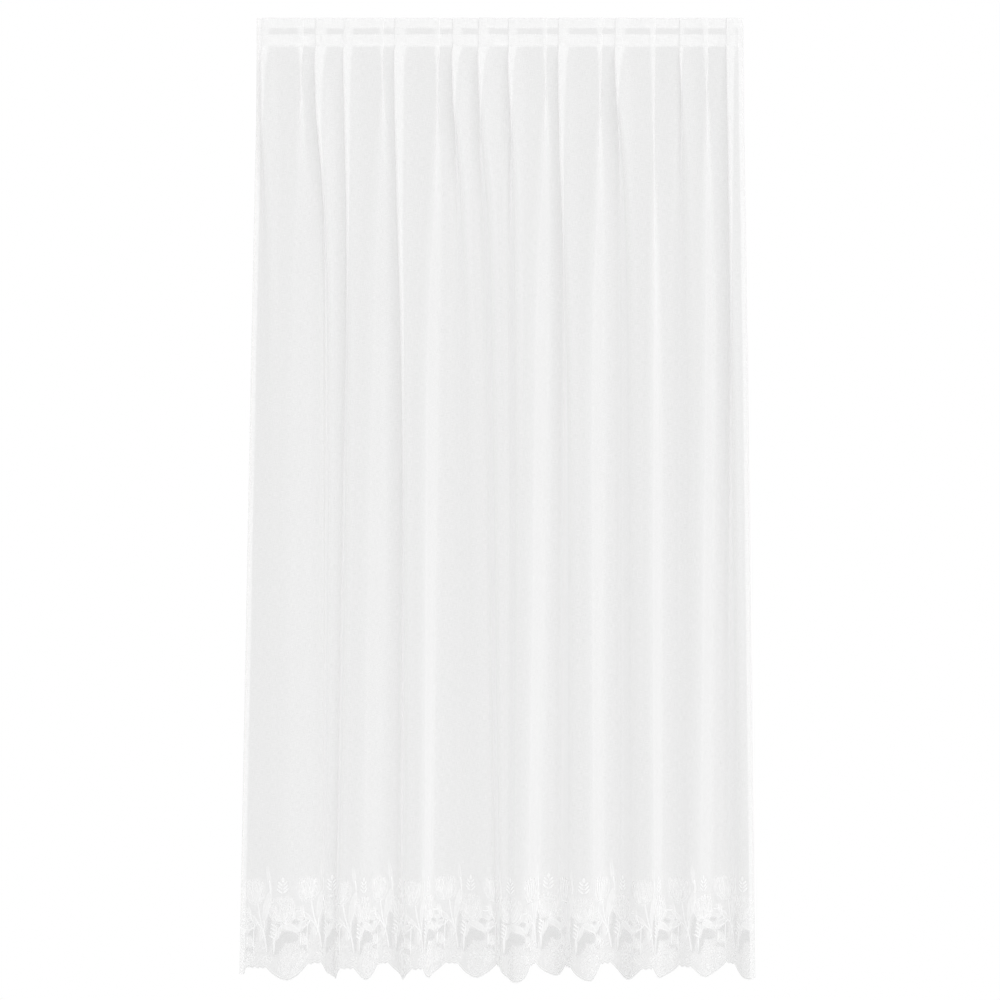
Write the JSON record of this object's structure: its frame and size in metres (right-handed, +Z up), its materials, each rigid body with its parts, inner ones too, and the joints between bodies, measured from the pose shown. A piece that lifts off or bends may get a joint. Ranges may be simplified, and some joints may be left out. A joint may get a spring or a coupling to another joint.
{
  "type": "lace curtain",
  "caption": "Sheer lace curtain panel that hangs in soft folds from a pleated, taped heading, with a woven floral border and a scalloped lower edge.",
  "frame": {"origin": "middle of the heading's top edge, in the plane that the heading hangs in", "axes": "+Z up, +X to the viewer's right along the heading, +Y behind the curtain towards the window"},
  "size_m": [1.3039, 0.083, 2.436],
  "materials": {
    "lace_white": "sheer white voile with a woven lace border",
    "tape_white": "white woven tape"
  },
  "bodies": {
    "root": {"lace_panel": "lace_white", "heading_tape": "tape_white"}
  },
  "joints": []
}
